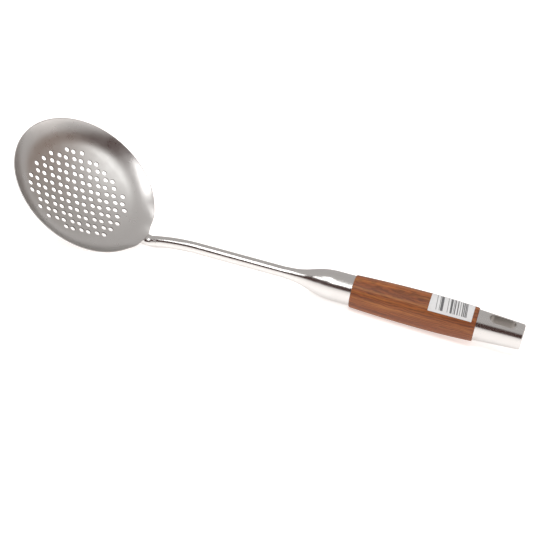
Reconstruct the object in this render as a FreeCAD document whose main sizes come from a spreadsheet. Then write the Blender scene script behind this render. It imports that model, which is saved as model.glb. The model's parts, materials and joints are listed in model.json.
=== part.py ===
"""Perforated kitchen skimmer with a turned wooden grip.

Tool axes, used while the pieces are drawn: the handle's axis is X with the end face of the cap at
x = 0 and the dish towards -X, Z points up out of the dish's open side, and the tool is symmetric
about the XZ plane. At the end every piece is turned into the pose in which the tool lies on a table,
with the origin under the middle of its bounding box.
"""
import FreeCAD, Part
import math
import os
import Sketcher

V = FreeCAD.Vector

# Driving dimensions in millimetres and degrees.
SIZES = {
    # dish
    "rim_radius": 62.5,
    "sheet": 0.9,
    "base_edge": 43.0,
    "base_radius": 238.0,
    "wall_radius": 36.0,
    "dish_tilt": 32.2,
    "dish_x": -362.7,
    "dish_z": 37.3,
    # drain holes
    "hole_radius": 2.0,
    "hole_pitch": 9.76,
    "grid_turn": 12.8,
    "grid_u": -0.46,
    "grid_v": 4.42,
    "stagger_u": 6.44,
    "stagger_v": -4.67,
    "field_u": -0.5,
    "field_v": 3.9,
    "field_radius": 42.9,
    # shank
    "shank_radius": 4.65,
    "shank_front": -150.0,
    "bend_start": -266.0,
    "bend_radius": 140.0,
    "shank_end": -304.0,
    # neck: the place, half width and half height of its upright ovals
    "throat_x": -308.0,
    "throat_z": -4.6,
    "throat_half": 4.7,
    "throat_high": 5.2,
    "root_x": -311.5,
    "root_z": -3.0,
    "root_half": 6.5,
    "root_high": 5.2,
    "fan_x": -317.0,
    "fan_z": -1.0,
    "fan_half": 8.5,
    "fan_high": 3.2,
    "toe_x": -323.0,
    "toe_z": 0.6,
    "toe_half": 6.0,
    "toe_high": 0.9,
    # ferrule
    "ferrule_nose": -192.0,
    "ferrule_lip": 0.25,
    "flare_end": -150.0,
    "front_seam": -136.2,
    "ferrule_radius": 12.4,
    "cavity_start": -162.0,
    # grip
    "rear_seam": -36.8,
    "grip_front": 13.2,
    "grip_belly": 14.7,
    "grip_rear": 13.5,
    "belly_x": -76.0,
    "spigot_radius": 10.8,
    "front_spigot": 8.0,
    "rear_spigot": 7.5,
    "grip_edge": 0.9,
    "bore_radius": 3.3,
    "counterbore_radius": 8.0,
    "washer_seat": -42.0,
    # tang
    "rod_radius": 3.0,
    "rod_front": -162.0,
    "rod_rear": -33.0,
    "fit_gap": 0.02,
    "washer_radius": 7.5,
    "washer_thick": 1.5,
    "nut_across_flats": 10.0,
    "nut_thick": 5.0,
    # cap
    "cap_front": 12.4,
    "cap_end": 10.2,
    "cap_wall": 1.3,
    "cap_face": 1.6,
    "cap_chamfer": 0.7,
    "slot_x": -17.4,
    "slot_length": 22.0,
    "slot_width": 10.0,
    "liner_wall": 0.8,
    # label
    "label_start": -75.0,
    "label_end": -40.5,
    "label_thick": 0.15,
    "label_arc": 98.0,
    "label_turn": 6.0,
    # lying pose
    "rest_roll": 26.98,
    "rest_pitch": 1.41,
}

doc = FreeCAD.newDocument("skimmer")
sheet = doc.addObject("Spreadsheet::Sheet", "Sizes")
for row, (alias, number) in enumerate(SIZES.items(), start=1):
    sheet.set("A%d" % row, alias)
    sheet.set("B%d" % row, str(number))
    sheet.setAlias("B%d" % row, alias)
doc.recompute()


def size(alias):
    """The sheet's value of one driving dimension."""
    return float(sheet.get(alias))


def measure(expression):
    """The value of an expression over the sheet's cells."""
    return float(sheet.evalExpression(expression))


def new_body(label):
    body = doc.addObject("PartDesign::Body", label)
    body.Label = label
    return body


def origin_plane(body, role):
    for feature in body.Origin.OriginFeatures:
        if feature.Role == role:
            return feature
    raise ValueError("no origin plane " + role)


def new_sketch(body, name, role):
    sketch = body.newObject("Sketcher::SketchObject", name)
    sketch.AttachmentSupport = [(origin_plane(body, role), "")]
    sketch.MapMode = "FlatFace"
    return sketch


def arc_centre(start, end, radius, side):
    """Centre of an arc from start to end; side is +1 when it lies left of the chord."""
    chord = end - start
    middle = (start + end) * 0.5
    offset = math.sqrt(max(radius ** 2 - (chord.Length / 2) ** 2, 0))
    left = V(-chord.y, chord.x, 0)
    left.normalize()
    return middle + left * offset * side


def arc_edge(start, end, radius, side):
    centre = arc_centre(start, end, radius, side)
    first, last = (start, end) if side > 0 else (end, start)
    angle_first = math.atan2(first.y - centre.y, first.x - centre.x)
    angle_last = math.atan2(last.y - centre.y, last.x - centre.x)
    return Part.ArcOfCircle(Part.Circle(centre, V(0, 0, 1), radius), angle_first, angle_last)


def pin_point(sketch, geometry, position, x_expression, y_expression):
    """Tie one point of a sketch to the sheet."""
    for kind, expression in (("DistanceX", x_expression), ("DistanceY", y_expression)):
        index = sketch.addConstraint(
            Sketcher.Constraint(kind, -1, 1, geometry, position, measure(expression)))
        sketch.setExpression("Constraints[%d]" % index, expression)


def draw_outline(sketch, corners, closed=True):
    """Draw an outline through corners whose coordinates are expressions over the sheet.

    A corner is (x, y) when a straight edge leaves it, or (x, y, radius, side) when an arc does.
    """
    points = [V(measure(corner[0]), measure(corner[1]), 0) for corner in corners]
    count = len(corners) if closed else len(corners) - 1
    for index in range(count):
        corner = corners[index]
        start = points[index]
        end = points[(index + 1) % len(points)]
        first_position = 1
        if len(corner) == 4:
            radius_expression, side = corner[2], corner[3]
            geometry = sketch.addGeometry(arc_edge(start, end, measure(radius_expression), side))
            radius_index = sketch.addConstraint(
                Sketcher.Constraint("Radius", geometry, measure(radius_expression)))
            sketch.setExpression("Constraints[%d]" % radius_index, radius_expression)
            first_position = 1 if side > 0 else 2
        else:
            geometry = sketch.addGeometry(Part.LineSegment(start, end))
        last = corners[(index + 1) % len(corners)]
        pin_point(sketch, geometry, first_position, corner[0], corner[1])
        pin_point(sketch, geometry, 3 - first_position, last[0], last[1])


def turned_body(label, corners, angle=None):
    """A piece turned about the handle's axis from a half outline drawn in the XZ plane."""
    body = new_body(label)
    sketch = new_sketch(body, label + "_outline", "XZ_Plane")
    draw_outline(sketch, corners)
    turn = body.newObject("PartDesign::Revolution", label + "_turning")
    turn.Profile = sketch
    turn.ReferenceAxis = (sketch, ["H_Axis"])
    if angle is None:
        turn.Angle = 360.0
    else:
        turn.Midplane = True
        turn.setExpression("Angle", angle)
    doc.recompute()
    return body


# ---------------------------------------------------------------------------
# Dish: a shallow spherical base that rolls into a steeper wall, drawn with its own axis as Z and
# the lowest point of its inner face at z = 0.
BASE_SIN = "(Sizes.base_edge / Sizes.base_radius)"
BASE_COS = "sqrt(1 - %s ^ 2)" % BASE_SIN
RIM_SIN = "(%s + (Sizes.rim_radius - Sizes.base_edge) / Sizes.wall_radius)" % BASE_SIN
RIM_COS = "sqrt(1 - %s ^ 2)" % RIM_SIN
EDGE_Z = "(Sizes.base_radius * (1 - %s))" % BASE_COS
RIM_Z = "(%s + Sizes.wall_radius * (%s - %s))" % (EDGE_Z, BASE_COS, RIM_COS)


def make_dish():
    body = new_body("bowl")
    sketch = new_sketch(body, "bowl_outline", "XZ_Plane")
    draw_outline(sketch, [
        ("0", "0", "Sizes.base_radius", 1),
        ("Sizes.base_edge", EDGE_Z, "Sizes.wall_radius", 1),
        ("Sizes.rim_radius", RIM_Z),
        ("Sizes.rim_radius + Sizes.sheet * " + RIM_SIN,
         "%s - Sizes.sheet * %s" % (RIM_Z, RIM_COS),
         "Sizes.wall_radius + Sizes.sheet", -1),
        ("Sizes.base_edge + Sizes.sheet * " + BASE_SIN,
         "%s - Sizes.sheet * %s" % (EDGE_Z, BASE_COS),
         "Sizes.base_radius + Sizes.sheet", -1),
        ("0", "-Sizes.sheet"),
    ])
    turn = body.newObject("PartDesign::Revolution", "bowl_pressing")
    turn.Profile = sketch
    turn.ReferenceAxis = (sketch, ["V_Axis"])
    turn.Angle = 360.0
    doc.recompute()
    solid_volume = body.Shape.Volume

    holes = new_sketch(body, "drain_holes", "XY_Plane")
    for centre in hole_centres():
        holes.addGeometry(Part.Circle(centre, V(0, 0, 1), size("hole_radius")))
    pocket = body.newObject("PartDesign::Pocket", "drain_punching")
    pocket.Profile = holes
    pocket.Type = "ThroughAll"
    pocket.Midplane = True
    doc.recompute()
    if body.Shape.Volume > solid_volume - 1:
        raise ValueError("the drain holes cut nothing")
    return body


def hole_centres():
    """Two square grids, one set between the other, kept inside a round field."""
    turn = math.radians(size("grid_turn"))
    along = V(math.cos(turn), math.sin(turn), 0) * size("hole_pitch")
    across = V(-math.sin(turn), math.cos(turn), 0) * size("hole_pitch")
    start = V(size("grid_u"), size("grid_v"), 0)
    stagger = V(size("stagger_u"), size("stagger_v"), 0)
    field = V(size("field_u"), size("field_v"), 0)
    reach = int(size("rim_radius") / size("hole_pitch")) + 1
    centres = []
    for row in range(-reach, reach + 1):
        for column in range(-reach, reach + 1):
            for shift in (V(0, 0, 0), stagger):
                centre = start + along * column + across * row + shift
                if centre.distanceToPoint(field) < size("field_radius"):
                    centres.append(V(centre.x, -centre.y, 0))
    return centres


dish = make_dish()
tilt = FreeCAD.Rotation(V(0, 1, 0), size("dish_tilt"))
rim_centre = V(size("dish_x"), 0, size("dish_z"))
dish.Placement = FreeCAD.Placement(rim_centre - tilt.multVec(V(0, 0, measure(RIM_Z))), tilt)


# ---------------------------------------------------------------------------
# Shank: a round bar, straight inside and behind the ferrule, then arched down to the dish.
def bend_point(travel):
    """Point on the arch after a horizontal travel from the start of the bend."""
    radius = size("bend_radius")
    return V(size("bend_start") - travel, 0, math.sqrt(radius ** 2 - travel ** 2) - radius)


def make_shank():
    body = new_body("shank")
    path = new_sketch(body, "shank_route", "XZ_Plane")
    run = "(Sizes.bend_start - Sizes.shank_end)"
    draw_outline(path, [
        ("Sizes.shank_front", "0"),
        ("Sizes.bend_start", "0", "Sizes.bend_radius", 1),
        ("Sizes.shank_end", "sqrt(Sizes.bend_radius ^ 2 - %s ^ 2) - Sizes.bend_radius" % run),
    ], closed=False)
    section = new_sketch(body, "shank_section", "YZ_Plane")
    section.AttachmentOffset = FreeCAD.Placement(V(0, 0, size("shank_front")), FreeCAD.Rotation())
    section.setExpression("AttachmentOffset.Base.z", "Sizes.shank_front")
    circle = section.addGeometry(Part.Circle(V(0, 0, 0), V(0, 0, 1), size("shank_radius")))
    section.addConstraint(Sketcher.Constraint("Coincident", circle, 3, -1, 1))
    radius_index = section.addConstraint(
        Sketcher.Constraint("Radius", circle, size("shank_radius")))
    section.setExpression("Constraints[%d]" % radius_index, "Sizes.shank_radius")
    pipe = body.newObject("PartDesign::AdditivePipe", "shank_bar")
    pipe.Profile = section
    pipe.Spine = path
    doc.recompute()
    solid_volume = body.Shape.Volume
    bore = new_sketch(body, "tang_socket_outline", "XZ_Plane")
    draw_outline(bore, [
        ("Sizes.rod_front - Sizes.fit_gap", "0"),
        ("Sizes.shank_front", "0"),
        ("Sizes.shank_front", "Sizes.rod_radius + Sizes.fit_gap"),
        ("Sizes.rod_front - Sizes.fit_gap", "Sizes.rod_radius + Sizes.fit_gap"),
    ])
    socket = body.newObject("PartDesign::Groove", "tang_socket")
    socket.Profile = bore
    socket.ReferenceAxis = (bore, ["H_Axis"])
    socket.Angle = 360.0
    doc.recompute()
    if body.Shape.Volume > solid_volume - 1:
        raise ValueError("the tang socket cut nothing")
    return body


shank = make_shank()


# ---------------------------------------------------------------------------
# Neck: the weld between the bar and the rim, ground smooth. Its sections are upright ovals that
# start as the bar's round end, rise to the rim and thin out under the wall of the dish.
def neck_oval(centre_x, centre_z, half_width, half_height):
    centre = V(centre_x, 0, centre_z)
    side = centre + V(0, half_width, 0)
    top = centre + V(0, 0, half_height)
    longer, shorter = (side, top) if half_width >= half_height else (top, side)
    if half_width == half_height:
        oval = Part.Circle(centre, V(1, 0, 0), half_width)
    else:
        oval = Part.Ellipse(longer, shorter, centre)
    return Part.Wire(oval.toShape())


def make_neck():
    bar_radius = size("shank_radius")
    bar_end = bend_point(size("bend_start") - size("shank_end"))
    sections = [neck_oval(bar_end.x, bar_end.z, bar_radius, bar_radius)]
    for name in ("throat", "root", "fan", "toe"):
        sections.append(neck_oval(size(name + "_x"), size(name + "_z"),
                                  size(name + "_half"), size(name + "_high")))
    weld = Part.makeLoft(sections, True, False).cut(dish.Shape)
    neck = doc.addObject("Part::Feature", "neck_weld")
    neck.Label = "neck_weld"
    neck.Shape = max(weld.Solids, key=lambda piece: piece.Volume)
    return neck


neck = make_neck()


# ---------------------------------------------------------------------------
# Handle: everything here is turned about the handle's axis.
def make_ferrule():
    """Flared shell: hugs the bar at its nose and takes the grip's front spigot at its mouth."""
    middle_x = "((Sizes.ferrule_nose + Sizes.flare_end) / 2)"
    nose_radius = "(Sizes.shank_radius + Sizes.ferrule_lip)"
    rise = "(Sizes.ferrule_radius - %s)" % nose_radius
    run = "(Sizes.flare_end - Sizes.ferrule_nose)"
    flare_radius = "((%s ^ 2 + %s ^ 2) / (4 * %s))" % (run, rise, rise)
    middle_radius = "(%s + %s / 2)" % (nose_radius, rise)
    inner_bar = "(Sizes.shank_radius + Sizes.fit_gap)"
    mouth = "(Sizes.spigot_radius + Sizes.fit_gap)"
    return turned_body("front_ferrule", [
        ("Sizes.ferrule_nose", inner_bar),
        ("Sizes.ferrule_nose", nose_radius, flare_radius, 1),
        (middle_x, middle_radius, flare_radius, -1),
        ("Sizes.flare_end", "Sizes.ferrule_radius"),
        ("Sizes.front_seam", "Sizes.ferrule_radius"),
        ("Sizes.front_seam", mouth),
        ("Sizes.front_seam - Sizes.front_spigot - 2", mouth),
        ("Sizes.cavity_start", inner_bar + " + 2"),
        ("Sizes.cavity_start", inner_bar),
    ])


# The barrel is two arcs that meet level at the belly.
FRONT_RUN = "(Sizes.belly_x - Sizes.front_seam - Sizes.grip_edge)"
FRONT_RISE = "(Sizes.grip_belly - Sizes.grip_front)"
FRONT_ARC = "((%s ^ 2 + %s ^ 2) / (2 * %s))" % (FRONT_RUN, FRONT_RISE, FRONT_RISE)
REAR_RUN = "(Sizes.rear_seam - Sizes.grip_edge - Sizes.belly_x)"
REAR_RISE = "(Sizes.grip_belly - Sizes.grip_rear)"
REAR_ARC = "((%s ^ 2 + %s ^ 2) / (2 * %s))" % (REAR_RUN, REAR_RISE, REAR_RISE)


def make_grip():
    """Wooden barrel with a spigot at each end, a through bore and a pocket for the nut."""
    front_shoulder = "Sizes.front_seam"
    rear_shoulder = "Sizes.rear_seam"
    spigot = "Sizes.spigot_radius"
    bore = "Sizes.bore_radius"
    pocket = "Sizes.counterbore_radius"
    front_face = "Sizes.front_seam - Sizes.front_spigot"
    rear_face = "Sizes.rear_seam + Sizes.rear_spigot"
    return turned_body("wood_grip", [
        (front_face, bore),
        (front_face, spigot),
        (front_shoulder, spigot),
        (front_shoulder, "Sizes.grip_front - Sizes.grip_edge", "Sizes.grip_edge", -1),
        (front_shoulder + " + Sizes.grip_edge", "Sizes.grip_front", FRONT_ARC, -1),
        ("Sizes.belly_x", "Sizes.grip_belly", REAR_ARC, -1),
        (rear_shoulder + " - Sizes.grip_edge", "Sizes.grip_rear", "Sizes.grip_edge", -1),
        (rear_shoulder, "Sizes.grip_rear - Sizes.grip_edge"),
        (rear_shoulder, spigot),
        (rear_face, spigot),
        (rear_face, pocket),
        ("Sizes.washer_seat", pocket),
        ("Sizes.washer_seat", bore),
    ])


def make_rod():
    return turned_body("tang_rod", [
        ("Sizes.rod_front", "0"),
        ("Sizes.rod_front", "Sizes.rod_radius - 0.6"),
        ("Sizes.rod_front + 0.6", "Sizes.rod_radius"),
        ("Sizes.rod_rear - 0.6", "Sizes.rod_radius"),
        ("Sizes.rod_rear", "Sizes.rod_radius - 0.6"),
        ("Sizes.rod_rear", "0"),
    ])


def make_washer():
    rear = "Sizes.washer_seat + Sizes.washer_thick"
    return turned_body("tang_washer", [
        ("Sizes.washer_seat", "Sizes.rod_radius + 0.2"),
        ("Sizes.washer_seat", "Sizes.washer_radius"),
        (rear, "Sizes.washer_radius"),
        (rear, "Sizes.rod_radius + 0.2"),
    ])


def make_nut():
    """Hexagon nut behind the washer, threaded on the rod."""
    body = new_body("tang_nut")
    front = "Sizes.washer_seat + Sizes.washer_thick"
    outline = new_sketch(body, "nut_outline", "YZ_Plane")
    outline.setExpression("AttachmentOffset.Base.z", front)
    corner_radius = measure("Sizes.nut_across_flats / 2 / cos(30)")
    corners = []
    for index in range(6):
        angle = math.radians(60 * index)
        corners.append(V(corner_radius * math.cos(angle), corner_radius * math.sin(angle), 0))
    for index in range(6):
        outline.addGeometry(Part.LineSegment(corners[index], corners[(index + 1) % 6]))
    for index in range(6):
        outline.addConstraint(
            Sketcher.Constraint("Coincident", index, 2, (index + 1) % 6, 1))
        outline.addConstraint(Sketcher.Constraint("Equal", index, (index + 1) % 6))
    bore = outline.addGeometry(Part.Circle(V(0, 0, 0), V(0, 0, 1), size("rod_radius")))
    outline.addConstraint(Sketcher.Constraint("Coincident", bore, 3, -1, 1))
    bore_index = outline.addConstraint(
        Sketcher.Constraint("Radius", bore, measure("Sizes.rod_radius + Sizes.fit_gap")))
    outline.setExpression("Constraints[%d]" % bore_index, "Sizes.rod_radius + Sizes.fit_gap")
    pad = body.newObject("PartDesign::Pad", "nut_body")
    pad.Profile = outline
    pad.setExpression("Length", "Sizes.nut_thick")
    doc.recompute()
    return body


def barrel_radius(position):
    """Expression for the barrel's radius at a place behind the belly."""
    return "(sqrt(%s ^ 2 - (%s - Sizes.belly_x) ^ 2) + Sizes.grip_belly - %s)" % (
        REAR_ARC, position, REAR_ARC)


def make_label():
    """Paper label wrapped over the rear of the barrel, a little past its top."""
    front = "Sizes.label_start"
    rear = "Sizes.label_end"
    body = turned_body("barcode_label", [
        (front, barrel_radius(front), REAR_ARC, -1),
        (rear, barrel_radius(rear)),
        (rear, barrel_radius(rear) + " + Sizes.label_thick", REAR_ARC, 1),
        (front, barrel_radius(front) + " + Sizes.label_thick"),
    ], angle="Sizes.label_arc")
    body.Placement = FreeCAD.Placement(V(0, 0, 0), V(1, 0, 0), -size("label_turn"))
    return body


CAP_SLOPE = "((Sizes.cap_front - Sizes.cap_end) / Sizes.rear_seam)"
CAP_SHOULDER = "(Sizes.cap_end - %s * Sizes.cap_chamfer)" % CAP_SLOPE


def slot_corners(margin):
    """The hang slot's outline with fully round ends, drawn smaller by a margin."""
    half_width = "(Sizes.slot_width / 2 - %s)" % margin
    half_length = "(Sizes.slot_length / 2 - %s)" % margin
    straight = "(Sizes.slot_length / 2 - Sizes.slot_width / 2)"
    front = "Sizes.slot_x - "
    rear = "Sizes.slot_x + "
    return [
        (front + straight, "-" + half_width),
        (rear + straight, "-" + half_width, half_width, 1),
        (rear + half_length, "0", half_width, 1),
        (rear + straight, half_width),
        (front + straight, half_width, half_width, 1),
        (front + half_length, "0", half_width, 1),
    ]


def make_cap():
    """Tapered cap, hollow from the grip's rear spigot to its flat end, with the hang slot."""
    mouth = "(Sizes.spigot_radius + Sizes.fit_gap)"
    step = "Sizes.rear_seam + Sizes.rear_spigot"
    body = turned_body("end_cap", [
        ("Sizes.rear_seam", mouth),
        ("Sizes.rear_seam", "Sizes.cap_front"),
        ("-Sizes.cap_chamfer", CAP_SHOULDER),
        ("0", "Sizes.cap_end - Sizes.cap_chamfer"),
        ("0", "0"),
        ("-Sizes.cap_face", "0"),
        ("-Sizes.cap_face", "Sizes.cap_end - Sizes.cap_wall"),
        (step, "Sizes.cap_front - Sizes.cap_wall - 0.5"),
        (step, mouth),
    ])
    solid_volume = body.Shape.Volume
    outline = new_sketch(body, "slot_outline", "XY_Plane")
    draw_outline(outline, slot_corners("0"))
    slot = body.newObject("PartDesign::Pocket", "hang_slot")
    slot.Profile = outline
    slot.Type = "ThroughAll"
    slot.Midplane = True
    doc.recompute()
    if body.Shape.Volume > solid_volume - 1:
        raise ValueError("the hang slot cut nothing")
    return body


def make_liner():
    """Oval tube that lines the hang slot, trimmed flush with the cap."""
    body = new_body("hang_slot_liner")
    outline = new_sketch(body, "liner_outline", "XY_Plane")
    draw_outline(outline, slot_corners("Sizes.fit_gap"))
    draw_outline(outline, slot_corners("Sizes.liner_wall"))
    pad = body.newObject("PartDesign::Pad", "liner_tube")
    pad.Profile = outline
    pad.Midplane = True
    pad.setExpression("Length", "Sizes.cap_front * 3")
    doc.recompute()
    outside = new_sketch(body, "liner_trim_outline", "XZ_Plane")
    draw_outline(outside, [
        ("Sizes.rear_seam", "Sizes.cap_front"),
        ("0", "Sizes.cap_end"),
        ("0", "Sizes.cap_front * 2"),
        ("Sizes.rear_seam", "Sizes.cap_front * 2"),
    ])
    trim = body.newObject("PartDesign::Groove", "liner_trim")
    trim.Profile = outside
    trim.ReferenceAxis = (outside, ["H_Axis"])
    trim.Angle = 360.0
    doc.recompute()
    return body


pieces = [
    dish,
    neck,
    shank,
    make_ferrule(),
    make_rod(),
    make_grip(),
    make_washer(),
    make_nut(),
    make_cap(),
    make_liner(),
    make_label(),
]

# ---------------------------------------------------------------------------
# Lying pose: the grip's belly, the neck and the near side of the rim touch the table together.
roll = FreeCAD.Rotation(V(1, 0, 0), size("rest_roll"))
pitch = FreeCAD.Rotation(V(0, 1, 0), -size("rest_pitch"))
lying = FreeCAD.Placement(V(0, 0, 0), pitch * roll)
for piece in pieces:
    piece.Placement = lying * piece.Placement
doc.recompute()
box = Part.makeCompound([piece.Shape for piece in pieces]).optimalBoundingBox(True, False)
to_origin = V(-(box.XMin + box.XMax) / 2, -(box.YMin + box.YMax) / 2, -box.ZMin)
for piece in pieces:
    piece.Placement = FreeCAD.Placement(to_origin, FreeCAD.Rotation()) * piece.Placement
doc.recompute()

for item in doc.Objects:
    if "Invalid" in item.State or "Error" in item.State:
        raise ValueError("%s failed: %s" % (item.Name, item.State))
for piece in pieces:
    if piece.Shape.isNull() or not piece.Shape.isValid():
        raise ValueError("%s has a bad shape" % piece.Label)

os.makedirs("parts", exist_ok=True)
for piece in pieces:
    piece.Shape.exportStep("parts/%s.step" % piece.Label)
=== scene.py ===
import json
import math

import bmesh
import bpy
import numpy as np
from mathutils import Matrix, Vector, geometry


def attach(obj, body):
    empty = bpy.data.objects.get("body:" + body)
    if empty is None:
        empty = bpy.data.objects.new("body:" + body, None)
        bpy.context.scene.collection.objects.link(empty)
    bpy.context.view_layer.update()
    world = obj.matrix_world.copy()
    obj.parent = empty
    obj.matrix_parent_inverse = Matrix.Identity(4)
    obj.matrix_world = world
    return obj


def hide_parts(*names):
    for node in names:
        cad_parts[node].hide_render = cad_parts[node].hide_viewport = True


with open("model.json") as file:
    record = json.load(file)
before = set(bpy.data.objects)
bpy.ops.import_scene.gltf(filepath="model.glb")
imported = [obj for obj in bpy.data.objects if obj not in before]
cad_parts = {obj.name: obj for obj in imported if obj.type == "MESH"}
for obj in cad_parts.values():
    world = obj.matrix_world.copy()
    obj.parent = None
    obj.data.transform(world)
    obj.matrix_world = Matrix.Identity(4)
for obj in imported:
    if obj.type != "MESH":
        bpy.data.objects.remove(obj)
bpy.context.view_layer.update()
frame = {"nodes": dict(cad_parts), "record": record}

MM = 0.001

# ---------------------------------------------------------------------------
# Frames. The tool's own X runs along the handle from the dish to the cap's end face,
# its Z is the hang slot's axis, and the dish stands tilted in it.
mounts = {mount["name"]: mount for mount in frame["record"]["mounts"]}
along = Vector(mounts["end_face"]["axis"]).normalized()
upright = Vector(mounts["hang_slot"]["axis"]).normalized()
tool = Matrix((along, upright.cross(along), upright)).transposed().to_4x4()
tool.translation = Vector(mounts["end_face"]["pos_m"])

DISH_TILT = math.radians(32.2)
DISH_CENTRE = Vector((-362.7, 0, 37.3)) * MM
dish_frame = tool @ Matrix.Translation(DISH_CENTRE) @ Matrix.Rotation(DISH_TILT, 4, "Y")


# ---------------------------------------------------------------------------
# Node helpers.
class Shader:
    """A new material and short ways to add nodes to it."""

    def __init__(self, name):
        self.material = bpy.data.materials.new(name)
        self.material.use_nodes = True
        self.tree = self.material.node_tree
        self.surface = self.tree.nodes["Principled BSDF"]

    def set(self, **values):
        for name, value in values.items():
            name = "IOR" if name == "ior" else name.replace("_", " ").title()
            self.plug(self.surface.inputs[name], value)

    def plug(self, socket, value):
        if isinstance(value, bpy.types.NodeSocket):
            self.tree.links.new(value, socket)
        else:
            socket.default_value = value

    def add(self, kind, output, *inputs, **settings):
        node = self.tree.nodes.new("ShaderNode" + kind)
        for name, value in settings.items():
            if name in node.inputs:
                self.plug(node.inputs[name], value)
            else:
                setattr(node, name, value)
        for socket, value in zip(node.inputs, inputs):
            if value is not None:
                self.plug(socket, value)
        return node.outputs[output]

    def math(self, operation, *inputs):
        return self.add("Math", 0, *inputs, operation=operation)

    def ramp(self, value, *stops):
        node = self.tree.nodes.new("ShaderNodeValToRGB")
        elements = node.color_ramp.elements
        while len(elements) < len(stops):
            elements.new(0.5)
        for element, (place, colour) in zip(elements, stops):
            element.position = place
            element.color = (*colour, 1)
        self.plug(node.inputs[0], value)
        return node.outputs[0]

    def mix(self, share, first, second, blend="MIX"):
        node = self.tree.nodes.new("ShaderNodeMix")
        node.data_type = "RGBA"
        node.blend_type = blend
        for socket, value in ((node.inputs[0], share), (node.inputs[6], first),
                              (node.inputs[7], second)):
            self.plug(socket, value)
        return node.outputs[2]

    def place(self, scale=(1, 1, 1), matrix=None):
        """Object coordinates in the tool's frame, or in another one, stretched by scale."""
        back = (tool if matrix is None else matrix).inverted()
        point = self.add("TexCoord", "Object")
        point = self.add("Mapping", 0, Vector=point, Location=back.translation,
                         Rotation=back.to_euler())
        return self.add("Mapping", 0, Vector=point, Scale=scale)

    def noise(self, where, scale, detail=4.0, roughness=0.6, distortion=0.0):
        return self.add("TexNoise", 0, Vector=where, Scale=scale, Detail=detail,
                        Roughness=roughness, Distortion=distortion)

    def bump(self, height, strength, distance):
        normal = self.add("Bump", 0, Height=height, Strength=strength, Distance=distance)
        self.plug(self.surface.inputs["Normal"], normal)


def grey(value):
    return (value, value, value)


# ---------------------------------------------------------------------------
# Materials.
STEEL = (0.66, 0.65, 0.64)
# Darker tint of the hang slot's liner: painted shade inside the slot.
TUBE_STEEL_SLOT_SHADE = (0.55, 0.53, 0.51)
# Near-black tint of the holes' walls: painted shade in the holes, laid over the sheared steel's
# rougher finish.
HOLE_WALL_SHADE_TINT = (0.11, 0.1, 0.095)


def brushed_steel(name, scale, rough, matrix=None, scratch=0.05, tint=STEEL):
    """Satin stainless: fine hair lines along one direction over broad, faint cloudiness."""
    shader = Shader(name)
    hair = shader.noise(shader.place(scale, matrix), 1.0, 6.0, 0.7)
    cloud = shader.noise(shader.place(matrix=matrix), 38.0, 3.0, 0.5)
    wear = shader.noise(shader.place(matrix=matrix), 160.0, 5.0, 0.65)
    clouded = tuple(0.93 * part for part in tint)
    lined = tuple(0.9 * part for part in tint)
    colour = shader.mix(cloud, (*clouded, 1), (*tint, 1))
    colour = shader.mix(shader.ramp(hair, (0.35, grey(0.0)), (0.7, grey(0.25))), colour, (*lined, 1))
    roughness = shader.add("MapRange", 0, Value=hair)
    for socket, value in (("From Min", 0.3), ("From Max", 0.7),
                          ("To Min", 0.85 * rough), ("To Max", 1.15 * rough)):
        roughness.node.inputs[socket].default_value = value
    roughness = shader.math("MULTIPLY_ADD", wear, 0.25 * rough, roughness)
    shader.set(base_color=colour, metallic=1.0, roughness=roughness)
    shader.bump(hair, scratch, 0.0002)
    return shader.material


def grip_wood():
    """Oiled red-brown hardwood, grain along the handle, with dark pores."""
    deep, middle, warm = (0.13, 0.03, 0.008), (0.23, 0.062, 0.013), (0.34, 0.11, 0.024)
    gold, dark, pore = (0.52, 0.215, 0.055, 1), (0.055, 0.014, 0.007, 1), (0.065, 0.02, 0.009, 1)
    shader = Shader("oiled_hardwood")
    drift = shader.noise(shader.place((5, 60, 60)), 1.0, 3.0, 0.55, 0.6)
    streaks = shader.noise(shader.place((9, 330, 330)), 1.0, 5.0, 0.62, 0.25)
    fibres = shader.noise(shader.place((30, 1500, 1500)), 1.0, 4.0, 0.7)
    rings = shader.add("TexWave", 1, Vector=shader.place((0.35, 1.0, 1.0)), Scale=210.0,
                       Distortion=9.0, Detail=3.0)
    rings.node.bands_direction = "Z"
    rings.node.inputs["Detail Scale"].default_value = 1.2
    base = shader.ramp(drift, (0.25, deep), (0.5, middle), (0.75, warm))
    figure = shader.ramp(rings, (0.0, grey(0.45)), (0.5, grey(1.0)), (1.0, grey(1.3)))
    colour = shader.mix(0.6, base, figure, "MULTIPLY")
    light_streaks = shader.ramp(streaks, (0.5, grey(0.0)), (0.72, grey(1.0)))
    dark_streaks = shader.ramp(streaks, (0.3, grey(1.0)), (0.46, grey(0.0)))
    pores = shader.ramp(fibres, (0.28, grey(1.0)), (0.42, grey(0.0)))
    for marks, strength, tone in ((light_streaks, 0.6, gold), (dark_streaks, 0.6, dark),
                                  (pores, 0.45, pore)):
        colour = shader.mix(shader.math("MULTIPLY", marks, strength), colour, tone)
    shader.set(base_color=colour, ior=1.48,
               roughness=shader.math("MULTIPLY_ADD", fibres, 0.3, 0.3))
    shader.bump(shader.math("MULTIPLY_ADD", streaks, 0.5, fibres), 0.25, 0.00025)
    return shader.material


# The label, in millimetres along the handle and degrees round it.
LABEL_START = -75.0
LABEL_SKEW = 1.2
BAR_WIDTH = 0.42
GROUP_WIDTH = 3.6
BARS_FROM = 4.5
BARS_TO = 29.5
BARS_TURN = -3.0
BARS_HALF_ARC = 31.0


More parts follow.
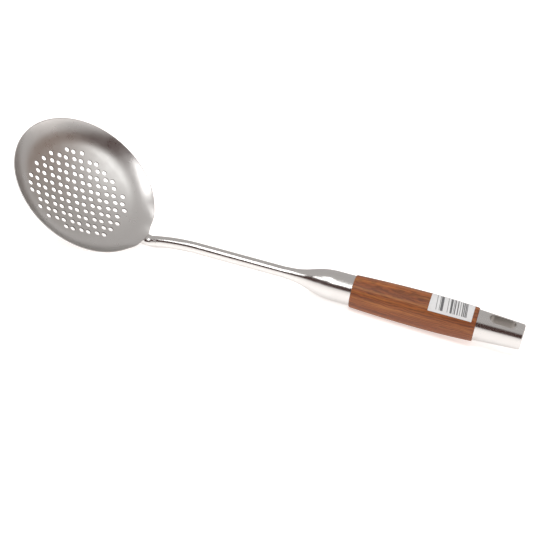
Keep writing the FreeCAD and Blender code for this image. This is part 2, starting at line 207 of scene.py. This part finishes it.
def label_paper():
    """Coated paper with groups of plain bars across the handle that stand for nothing."""
    shader = Shader("printed_label")
    axes = shader.place()
    split = shader.tree.nodes.new("ShaderNodeSeparateXYZ")
    shader.plug(split.inputs[0], axes)
    x, y, z = split.outputs
    turn = shader.math("ARCTAN2", y, z)
    skewed = shader.math("MULTIPLY_ADD", turn, LABEL_SKEW * MM, x)
    place = shader.math("MULTIPLY_ADD", skewed, 1 / MM, -LABEL_START)
    cell = shader.math("FLOOR", shader.math("MULTIPLY", place, 1 / BAR_WIDTH))
    chance = shader.add("TexWhiteNoise", 0, None, cell, noise_dimensions="1D")
    group = shader.math("FLOOR", shader.math("MULTIPLY", place, 1 / GROUP_WIDTH))
    weight = shader.add("TexWhiteNoise", 0, None, shader.math("ADD", group, 17.0),
                        noise_dimensions="1D")
    bars = shader.math("LESS_THAN", chance, shader.math("MULTIPLY_ADD", weight, 0.6, 0.15))
    inside = shader.math("MULTIPLY", shader.math("GREATER_THAN", place, BARS_FROM),
                         shader.math("LESS_THAN", place, BARS_TO))
    band = shader.math("COMPARE", turn, math.radians(BARS_TURN), math.radians(BARS_HALF_ARC))
    ink = shader.math("MULTIPLY", shader.math("MULTIPLY", bars, inside), band)
    cloud = shader.noise(axes, 260.0, 4.0)
    paper = shader.mix(cloud, (0.60, 0.61, 0.62, 1), (0.74, 0.745, 0.75, 1))
    colour = shader.mix(shader.math("MULTIPLY", ink, 0.9), paper, (0.05, 0.05, 0.055, 1))
    shader.set(base_color=colour, roughness=shader.math("MULTIPLY_ADD", cloud, 0.2, 0.35))
    shader.bump(cloud, 0.15, 0.0001)
    return shader.material


# ---------------------------------------------------------------------------
# The dish: one pressed sheet. A flat drawing of it, holes included, is laid over the
# pressing, and the outer face is the same drawing one sheet thickness lower.
RIM_RADIUS = 62.5
SHEET = 0.9
BASE_EDGE = 43.0
BASE_RADIUS = 238.0
WALL_RADIUS = 36.0
HOLE_RADIUS = 2.0
HOLE_EDGE = 0.18

# The field of holes: two square grids, turned in the dish's plane, one set between the other.
GRID_TURN = math.radians(12.8)
GRID_PITCH = 9.76
GRID_START = np.array([-0.46, 4.42])
GRID_SHIFT = np.array([6.44, -4.67])
FIELD_CENTRE = np.array([-0.5, 3.9])
FIELD_RADIUS = 42.9

# How finely the flat drawing is divided.
HOLE_SIDES = 28
HOLE_RINGS = (0.12, 0.45, 0.95)
HOLE_CLEARANCE = 1.35
RIM_SIDES = 288
RIM_FIRST_STEP = 0.25
WALL_STEP = 0.45
WALL_STEP_FROM = 55
OUTER_STEP = 0.9
FILLING_EDGE = 46
FILLING_GAP = 1.15
ROUND_STEPS = 3
PROBE = 0.02

base_sine = BASE_EDGE / BASE_RADIUS
edge_height = BASE_RADIUS * (1 - math.sqrt(1 - base_sine ** 2))
wall_centre = (BASE_EDGE - WALL_RADIUS * base_sine,
               edge_height + WALL_RADIUS * math.sqrt(1 - base_sine ** 2))
rim_sine = (RIM_RADIUS - wall_centre[0]) / WALL_RADIUS
rim_cosine = math.sqrt(1 - rim_sine ** 2)
rim_height = wall_centre[1] - WALL_RADIUS * rim_cosine

# At the bar the rim dips into a shallow lip, wider than it is deep, and a short tongue of
# the sheet runs out over the bar's top.
SPOUT_START = 52.0
SPOUT_HALF = 30.0
SPOUT_DROP = 4.3
TONGUE_START = 56.0
TONGUE_HALF = 11.0
TONGUE_OUT = 1.7
FLARE_MIDDLE = 0.17
FLARE_SIDES = 0.33
FLARE_WIDTH = 15.0


def swell(offset, half):
    """1 on the middle line, falling smoothly to 0 at half to either side."""
    return np.clip(1 - (offset / half) ** 2, 0, 1) ** 2


def pressing(flat):
    """Inner face of the dish over flat points, height measured from the rim's plane."""
    r = np.hypot(flat[:, 0], flat[:, 1])
    base = BASE_RADIUS - np.sqrt(np.maximum(BASE_RADIUS ** 2 - r ** 2, 0))
    wall = wall_centre[1] - np.sqrt(np.maximum(WALL_RADIUS ** 2 - (r - wall_centre[0]) ** 2, 0))
    height = np.where(r < BASE_EDGE, base, wall) - rim_height
    front = flat[:, 0] > 0
    spout = np.clip((r - SPOUT_START) / (RIM_RADIUS - SPOUT_START), 0, None) ** 2
    tongue = np.clip((r - TONGUE_START) / (RIM_RADIUS - TONGUE_START), 0, None) ** 1.5
    drop = SPOUT_DROP * swell(flat[:, 1], SPOUT_HALF) * spout * front
    flare = FLARE_MIDDLE + FLARE_SIDES * (flat[:, 1] / FLARE_WIDTH) ** 2
    out = flare * drop + TONGUE_OUT * swell(flat[:, 1], TONGUE_HALF) * tongue * front
    return np.stack([flat[:, 0] + out, flat[:, 1], height - drop], 1)


def sheet_at(flat, depth):
    """Points of the sheet below flat points at a depth under its inner face, and normals."""
    slope_u = pressing(flat + [PROBE, 0]) - pressing(flat - [PROBE, 0])
    slope_v = pressing(flat + [0, PROBE]) - pressing(flat - [0, PROBE])
    normal = np.cross(slope_u, slope_v)
    normal /= np.linalg.norm(normal, axis=1)[:, None]
    return pressing(flat) - np.asarray(depth)[:, None] * normal, normal


def hole_centres():
    """Both grids' points that lie inside the round field."""
    step = np.array([math.cos(GRID_TURN), math.sin(GRID_TURN)]) * GRID_PITCH
    row = np.array([-math.sin(GRID_TURN), math.cos(GRID_TURN)]) * GRID_PITCH
    reach = int(RIM_RADIUS / GRID_PITCH) + 1
    span = range(-reach, reach + 1)
    starts = (GRID_START, GRID_START + GRID_SHIFT)
    grid = np.array([start + i * step + j * row for j in span for i in span for start in starts])
    kept = grid[np.linalg.norm(grid - FIELD_CENTRE, axis=1) < FIELD_RADIUS]
    return kept * [1, -1]


def ring(radius, sides, centre=(0, 0), turn=0.0):
    angle = (np.arange(sides) + turn) * 2 * math.pi / sides
    return np.stack([np.cos(angle), np.sin(angle)], 1) * radius + centre


def flat_drawing(centres):
    """Flat points and triangles: hole edges first, then the rim, then the filling."""
    rim = RIM_RADIUS - SHEET / 2 * rim_cosine
    edge = HOLE_RADIUS + HOLE_EDGE
    points = [ring(edge, HOLE_SIDES, centre) for centre in centres]
    points.append(ring(rim, RIM_SIDES))
    for number, grow in enumerate(HOLE_RINGS):
        turn = 0.5 if number else 0.0
        points += [ring(edge + grow, HOLE_SIDES, centre, turn) for centre in centres]
    points += wall_rings(rim - RIM_FIRST_STEP)
    points.append(filling(centres, edge + HOLE_CLEARANCE))
    points = np.concatenate(points)
    in_holes = len(centres) * HOLE_SIDES
    loops = [range(start, start + HOLE_SIDES) for start in range(0, in_holes, HOLE_SIDES)]
    loops.append(range(in_holes, in_holes + RIM_SIDES))
    edges = [(a, b) for loop in loops for a, b in zip(loop, [*loop[1:], loop[0]])]
    cut = geometry.delaunay_2d_cdt([Vector(p) for p in points], edges, [], 0, 1e-5)
    back = [origin[0] for origin in cut[3]]
    triangles = np.array([[back[i] for i in face] for face in cut[2]])
    owner = np.where(triangles < in_holes, triangles // HOLE_SIDES, -1)
    open_hole = (owner[:, 0] >= 0) & (owner[:, 0] == owner[:, 1]) & (owner[:, 1] == owner[:, 2])
    return points, triangles[~open_hole], loops


def wall_rings(radius):
    """Rings of points from a radius inwards to the filling, each turned by half a side."""
    rings, turn = [], 0.5
    while radius > FILLING_EDGE:
        rings.append(ring(radius, RIM_SIDES, turn=turn))
        radius -= WALL_STEP if radius > WALL_STEP_FROM else OUTER_STEP
        turn = 0.5 - turn
    return rings


def filling(centres, clearance):
    """A triangular grid of points over the base that keeps clear of the holes."""
    rows = np.arange(-FILLING_EDGE, FILLING_EDGE, FILLING_GAP * math.sqrt(3) / 2)
    grid = np.array([(x + (i % 2) * FILLING_GAP / 2, y) for i, y in enumerate(rows)
                     for x in np.arange(-FILLING_EDGE, FILLING_EDGE, FILLING_GAP)])
    grid = grid[np.linalg.norm(grid, axis=1) < FILLING_EDGE - 0.4]
    return grid[np.linalg.norm(grid[:, None] - centres[None], axis=2).min(1) > clearance]


def edge_rows(start, outward, radius, lean):
    """Rows of points, with normals, round an edge from the inner face to the outer one."""
    over = [math.pi / 2 * i / ROUND_STEPS for i in range(1, ROUND_STEPS + 1)]
    under = [math.pi - angle for angle in over[-2:0:-1]]
    for angle in over + under:
        depth = radius * (1 - math.cos(angle))
        if angle > math.pi / 2:
            depth += SHEET - 2 * radius
        here = start + outward * radius * math.sin(angle) * lean
        depths = np.full(len(here), depth)
        points, up = sheet_at(here, depths)
        side = sheet_at(here + outward * PROBE, depths)[0] - points
        side /= np.linalg.norm(side, axis=1)[:, None]
        yield points, up * math.cos(angle) + side * math.sin(angle)


def build_dish():
    """The dish, and each face's finish: 0 on the sheet and its rim, 1 on the holes' walls, which are
    tinted near-black as painted shade.
    """
    centres = hole_centres()
    flat, triangles, loops = flat_drawing(centres)
    count = len(flat)
    inner, normals = sheet_at(flat, np.zeros(count))
    outer, _ = sheet_at(flat, np.full(count, SHEET))
    points, directions = [inner, outer], [normals, -normals]
    faces = [tuple(t) for t in triangles] + [tuple(t[::-1] + count) for t in triangles]
    finish = [0] * len(faces)
    edges = [(loop, centre, -1, HOLE_EDGE, 1.0) for loop, centre in zip(loops, centres)]
    edges.append((loops[-1], np.zeros(2), 1, SHEET / 2, rim_cosine))
    used = 2 * count
    for loop, centre, way, radius, lean in edges:
        start = flat[loop.start:loop.stop]
        outward = way * (start - centre) / np.linalg.norm(start - centre, axis=1)[:, None]
        previous = np.array(loop)
        for row, row_normals in edge_rows(start, outward, radius, lean):
            points.append(row)
            directions.append(row_normals)
            current = np.arange(used, used + len(row))
            used += len(row)
            faces += bridge(previous, current, way > 0)
            previous = current
        faces += bridge(previous, np.array(loop) + count, way > 0)
        finish += [int(way < 0)] * (len(faces) - len(finish))
    piece = new_mesh("dish", np.concatenate(points), faces, dish_frame,
                     np.concatenate(directions))
    return piece, finish


def bridge(first, second, outer):
    """Quads between two closed rows of equal length."""
    quads = zip(first, np.roll(first, -1), np.roll(second, -1), second)
    return [tuple(int(i) for i in (quad[::-1] if outer else quad)) for quad in quads]


def new_mesh(name, points, faces, matrix, normals=None):
    """A piece from points in millimetres in a frame, placed in the row's frame."""
    turn = np.array(matrix.to_3x3())
    placed = np.asarray(points) * MM @ turn.T + np.array(matrix.translation)
    mesh = bpy.data.meshes.new(name)
    mesh.from_pydata([tuple(p) for p in placed], [],
                     [tuple(int(i) for i in face) for face in faces])
    mesh.shade_smooth()
    if normals is not None:
        mesh.normals_split_custom_set_from_vertices([tuple(n) for n in normals @ turn.T])
    piece = bpy.data.objects.new(name, mesh)
    bpy.context.scene.collection.objects.link(piece)
    return piece


# ---------------------------------------------------------------------------
# The neck: the bar widens and flattens under the lip and runs out under the wall.
BEND_START = -266.0
BEND_RADIUS = 140.0
NECK_SIDES = 72
NECK_ROWS = 61
NECK_PROBES = 160
# Stations in the tool's frame: place along the handle, height of the middle (none where it
# follows the bar), half width and reach downwards.
NECK_STATIONS = ((-301.5, None, 4.67, 4.72), (-304.5, None, 4.68, 4.48), (-307.5, -6.1, 4.9, 3.4),
                 (-310.5, -5.5, 5.5, 3.0), (-314.5, -3.2, 7.2, 2.5), (-319.0, -0.1, 7.4, 1.6),
                 (-323.0, 1.6, 5.0, 0.9), (-327.0, 3.0, 1.5, 0.4))
# The reach upwards falls off slowly past the bar's end, then rises until it meets the sheet.
CROWN = 4.83
CROWN_END = -304.5
CROWN_FALL = 0.1
RISE_START = -311.0
RISE_LENGTH = 4.0
RISE = 9.0
# Where the sheet's height is sampled: radii outwards from here, and lanes to both sides.
SAMPLED_FROM = 40
SAMPLED_RADII = 90
LANES_HALF = 14
LANES = 57


def smooth_through(places, values, at):
    """Smooth curve through the stations, by cubic pieces with averaged slopes."""
    slopes = np.gradient(values, places)
    index = np.clip(np.searchsorted(places, at) - 1, 0, len(places) - 2)
    span = places[index + 1] - places[index]
    t = (at - places[index]) / span
    return ((2 * t ** 3 - 3 * t ** 2 + 1) * values[index] + (t ** 3 - 2 * t ** 2 + t) * span
            * slopes[index] + (3 * t ** 2 - 2 * t ** 3) * values[index + 1]
            + (t ** 3 - t ** 2) * span * slopes[index + 1])


def build_neck():
    stations = np.array([[x, bar_height(x) if z is None else z, w, d]
                         for x, z, w, d in NECK_STATIONS])[::-1]
    at = np.linspace(stations[-1, 0], stations[0, 0], NECK_ROWS)
    middle, width, down = (smooth_through(stations[:, 0], stations[:, i], at) for i in (1, 2, 3))
    rise = np.clip((RISE_START - at) / RISE_LENGTH, 0, 1)
    up = CROWN - CROWN_FALL * np.clip(CROWN_END - at, 0, None) + RISE * rise ** 2 * (3 - 2 * rise)
    angle = (np.arange(NECK_SIDES) + 0.5) * 2 * math.pi / NECK_SIDES
    cosine, sine = np.cos(angle)[None], np.sin(angle)[None]
    tall = np.where(sine > 0, up[:, None], down[:, None])
    reach = 1 / np.sqrt((cosine / width[:, None]) ** 2 + (sine / tall) ** 2)
    x = np.broadcast_to(at[:, None], reach.shape)
    steps = np.linspace(0, 1, NECK_PROBES)[:, None, None] * reach
    level = sheet_level(x[None] + 0 * steps, steps * cosine)
    above = (middle[:, None] + steps * sine) > level
    hit = np.where(above.any(0), above.argmax(0), NECK_PROBES - 1)
    reach = np.where(sine > 0, reach * hit / (NECK_PROBES - 1), reach)
    points = np.stack([x, reach * cosine, middle[:, None] + reach * sine], 2)
    around = np.arange(NECK_SIDES)
    faces = [face for i in range(NECK_ROWS - 1)
             for face in bridge(around + i * NECK_SIDES, around + (i + 1) * NECK_SIDES, True)]
    faces += [tuple(around[::-1]), tuple(around + (NECK_ROWS - 1) * NECK_SIDES)]
    return new_mesh("neck", points.reshape(-1, 3), faces, tool)


def bar_height(x):
    """Height of the bar's middle line on the arch."""
    return math.sqrt(BEND_RADIUS ** 2 - (BEND_START - x) ** 2) - BEND_RADIUS


def sheet_level(x, y):
    """Height in the tool's frame of the middle of the sheet's thickness over places."""
    radii = np.linspace(SAMPLED_FROM, RIM_RADIUS, SAMPLED_RADII)
    lanes = np.linspace(-LANES_HALF, LANES_HALF, LANES)
    flat = np.stack(np.meshgrid(radii, lanes, indexing="ij"), 2).reshape(-1, 2)
    points, _ = sheet_at(flat, np.full(len(flat), SHEET * 0.5))
    turn = np.array(Matrix.Rotation(DISH_TILT, 3, "Y"))
    placed = points @ turn.T + np.array(DISH_CENTRE) / MM
    placed = placed.reshape(SAMPLED_RADII, LANES, 3)
    lane = (y.ravel() + LANES_HALF) * (LANES - 1) / (2 * LANES_HALF)
    lane = np.clip(lane, 0, LANES - 1.001)
    left = lane.astype(int)
    share = lane - left
    level = np.zeros(x.size)
    for k in np.unique(left):
        chosen = left == k
        for side, weight in ((k, 1 - share[chosen]), (k + 1, share[chosen])):
            line = placed[:, side]
            level[chosen] += weight * np.interp(x.ravel()[chosen], line[:, 0], line[:, 2])
    return level.reshape(x.shape)


# ---------------------------------------------------------------------------
# Finishes on the pieces.
def dress(piece, *materials):
    piece.data.materials.clear()
    for material in materials:
        piece.data.materials.append(material)


dish, dish_finish = build_dish()
# The holes' walls get a rougher, scratched sheared finish and a near-black tint that is painted
# shade.
dress(dish, brushed_steel("satin_sheet", (90, 90, 90), 0.27, dish_frame, 0.03),
      brushed_steel("sheared_edge_painted_shade", (300, 300, 2500), 0.5, dish_frame, 0.3, HOLE_WALL_SHADE_TINT))
dish.data.polygons.foreach_set("material_index", dish_finish)
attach(dish, "root")
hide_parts("bowl")

neck = build_neck()
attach(neck, "root")
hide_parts("neck_weld")

bar_finish = brushed_steel("satin_bar", (60, 1800, 1800), 0.16)
turned_finish = brushed_steel("satin_shell", (60, 900, 900), 0.17)
# The liner's rougher finish is the drawn tube's own; its darker tint is painted shade inside the
# slot.
slot_shaded_tube_finish = brushed_steel("drawn_tube_slot_shade", (900, 900, 120), 0.28, tint=TUBE_STEEL_SLOT_SHADE)
hardware_finish = brushed_steel("plated_hardware", (400, 400, 400), 0.3)
finishes = {
    "shank": bar_finish,
    "front_ferrule": turned_finish,
    "end_cap": turned_finish,
    "hang_slot_liner": slot_shaded_tube_finish,
    "tang_rod": hardware_finish,
    "tang_washer": hardware_finish,
    "tang_nut": hardware_finish,
    "wood_grip": grip_wood(),
    "barcode_label": label_paper(),
}
for node, material in finishes.items():
    dress(frame["nodes"][node], material)
dress(neck, bar_finish)


# ---------------------------------------------------------------------------
# Stage: a large pale table with a soft gloss, soft lights on the camera's side and a grey
# studio with dark and pale parts round it.
TABLE_HALF = 8.0


def build_table():
    mesh = bpy.data.meshes.new("table")
    grid = bmesh.new()
    bmesh.ops.create_grid(grid, x_segments=8, y_segments=8, size=TABLE_HALF)
    grid.to_mesh(mesh)
    grid.free()
    table = bpy.data.objects.new("table", mesh)
    bpy.context.scene.collection.objects.link(table)
    shader = Shader("pale_table")
    cloud = shader.noise(shader.place(), 3.0, 2.0)
    shader.set(base_color=shader.mix(cloud, (0.86, 0.845, 0.835, 1), (0.9, 0.885, 0.875, 1)),
               roughness=shader.math("MULTIPLY_ADD", cloud, 0.04, 0.16), ior=1.45,
               emission_color=(1.0, 0.965, 0.945, 1), emission_strength=0.6)
    dress(table, shader.material)


def soft_light(name, direction, distance, width, height, power, lean=0.0):
    """A rectangular light that faces the middle of the table, turned by lean degrees."""
    data = bpy.data.lights.new(name, "AREA")
    data.shape = "RECTANGLE"
    data.size = width
    data.size_y = height
    data.energy = power
    light = bpy.data.objects.new(name, data)
    bpy.context.scene.collection.objects.link(light)
    light.location = direction * distance
    face = direction.to_track_quat("Z", "Y").to_matrix()
    light.rotation_euler = (face @ Matrix.Rotation(math.radians(lean), 3, "Z")).to_euler()
    light.visible_camera = False
    return light


def heading(azimuth, elevation):
    """Direction at an azimuth from the camera's side (-Y) towards +X, in degrees."""
    a, e = math.radians(azimuth), math.radians(elevation)
    return Vector((math.sin(a) * math.cos(e), -math.cos(a) * math.cos(e), math.sin(e)))


BACKDROP = (0.60, 0.575, 0.56, 1)
DARK = (0.075, 0.038, 0.032, 1)
BROWN = (0.34, 0.26, 0.22, 1)
DEEP_BROWN = (0.24, 0.18, 0.155, 1)
PALE_BROWN = (0.45, 0.42, 0.39, 1)
PALE = (0.95, 0.9, 0.87, 1)
LAMP = (1.9, 1.9, 1.87, 1)


def build_studio():
    """A grey studio with round, soft-edged patches of other tones laid over one another."""
    # Each patch: azimuth and elevation of its centre, its full and its outer angle, its tone.
    patches = ((142, 45, 4, 16, PALE_BROWN), (112, 38, 8, 21, BROWN), (92, 37, 8, 20, BROWN),
               (127, 38, 5, 17, BROWN), (74, 36, 8, 20, DEEP_BROWN), (74, 61, 8, 18, LAMP),
               (55, 31, 8, 20, DARK), (36, 28, 13, 24, DARK), (-12, 14, 15, 24, DARK),
               (-50, 18, 14, 26, DARK), (12, 16, 15, 24, DARK), (105, 0, 10, 24, PALE))
    world = bpy.data.worlds.new("studio")
    bpy.context.scene.world = world
    world.use_nodes = True
    tree = world.node_tree
    where = tree.nodes.new("ShaderNodeTexCoord").outputs["Generated"]
    colour = tree.nodes.new("ShaderNodeRGB").outputs[0]
    colour.default_value = BACKDROP
    for azimuth, elevation, inner, outer, tone in patches:
        dot = tree.nodes.new("ShaderNodeVectorMath")
        dot.operation = "DOT_PRODUCT"
        tree.links.new(where, dot.inputs[0])
        dot.inputs[1].default_value = heading(azimuth, elevation)
        share = tree.nodes.new("ShaderNodeMapRange")
        share.interpolation_type = "SMOOTHSTEP"
        tree.links.new(dot.outputs["Value"], share.inputs["Value"])
        share.inputs["From Min"].default_value = math.cos(math.radians(outer))
        share.inputs["From Max"].default_value = math.cos(math.radians(inner))
        mix = tree.nodes.new("ShaderNodeMix")
        mix.data_type = "RGBA"
        tree.links.new(share.outputs[0], mix.inputs[0])
        tree.links.new(colour, mix.inputs[6])
        mix.inputs[7].default_value = tone
        colour = mix.outputs[2]
    tree.links.new(colour, tree.nodes["Background"].inputs[0])


def build_lights():
    """Two softboxes that the steel mirrors, and a wide fill that it doesn't."""
    soft_light("front_softbox", heading(-20, 48), 1.6, 0.38, 1.1, 4.6, lean=38)
    soft_light("side_softbox", heading(-42, 40), 1.6, 0.54, 0.28, 1.7)
    fill = soft_light("overhead_fill", heading(-30, 75), 1.8, 1.4, 1.4, 16.0)
    fill.visible_glossy = False


CAMERA_DIRECTION = heading(10.57, 16.96)
CAMERA_DISTANCE = 1.038
CAMERA_ROLL = math.radians(13.54)
CAMERA_AIM = Vector((0.0009, 0.0155, 0.0128))
SENSOR_WIDTH = 36.0
FOCAL_LENGTH = 87.8


def build_camera():
    """Low on the near side, and rolled so that the handle runs down to the right."""
    data = bpy.data.cameras.new("camera")
    data.sensor_width = SENSOR_WIDTH
    data.lens = FOCAL_LENGTH
    camera = bpy.data.objects.new("camera", data)
    bpy.context.scene.collection.objects.link(camera)
    camera.location = CAMERA_AIM + CAMERA_DIRECTION * CAMERA_DISTANCE
    look = CAMERA_DIRECTION.to_track_quat("Z", "Y").to_matrix()
    camera.rotation_euler = (look @ Matrix.Rotation(CAMERA_ROLL, 3, "Z")).to_euler()
    bpy.context.scene.camera = camera


build_table()
build_studio()
build_lights()
build_camera()
bpy.context.scene.view_settings.view_transform = "Standard"
